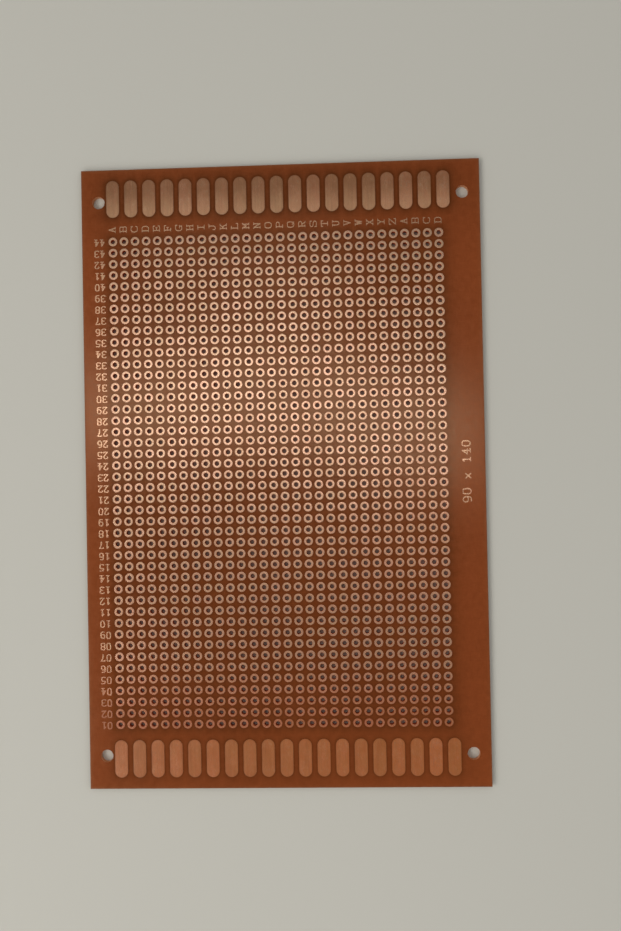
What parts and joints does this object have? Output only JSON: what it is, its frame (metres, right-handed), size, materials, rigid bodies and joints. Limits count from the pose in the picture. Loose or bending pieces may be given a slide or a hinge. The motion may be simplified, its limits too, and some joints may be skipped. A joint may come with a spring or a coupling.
{
  "type": "prototype board",
  "caption": "Flat phenolic prototype board with a grid of punched lead holes, a round copper pad about each, and a strip of long copper contacts along each end.",
  "frame": {"origin": "middle of the laminate's underside, on the plane that the board rests on", "axes": "+Z out of the copper side, +Y along the length from row 01 towards row 44, +X along a row from the first column to the last"},
  "size_m": [0.09, 0.14, 0.0012],
  "materials": {
    "phenolic": "satin brown phenolic paper laminate",
    "copper": "bare copper foil, lightly dulled"
  },
  "bodies": {
    "root": {"board": "phenolic", "contacts_low_end": "copper", "contacts_high_end": "copper", "pads_row_01": "copper", "pads_row_02": "copper", "pads_row_03": "copper", "pads_row_04": "copper", "pads_row_05": "copper", "pads_row_06": "copper", "pads_row_07": "copper", "pads_row_08": "copper", "pads_row_09": "copper", "pads_row_10": "copper", "pads_row_11": "copper", "pads_row_12": "copper", "pads_row_13": "copper", "pads_row_14": "copper", "pads_row_15": "copper", "pads_row_16": "copper", "pads_row_17": "copper", "pads_row_18": "copper", "pads_row_19": "copper", "pads_row_20": "copper", "pads_row_21": "copper", "pads_row_22": "copper", "pads_row_23": "copper", "pads_row_24": "copper", "pads_row_25": "copper", "pads_row_26": "copper", "pads_row_27": "copper", "pads_row_28": "copper", "pads_row_29": "copper", "pads_row_30": "copper", "pads_row_31": "copper", "pads_row_32": "copper", "pads_row_33": "copper", "pads_row_34": "copper", "pads_row_35": "copper", "pads_row_36": "copper", "pads_row_37": "copper", "pads_row_38": "copper", "pads_row_39": "copper", "pads_row_40": "copper", "pads_row_41": "copper", "pads_row_42": "copper", "pads_row_43": "copper", "pads_row_44": "copper"}
  },
  "joints": []
}
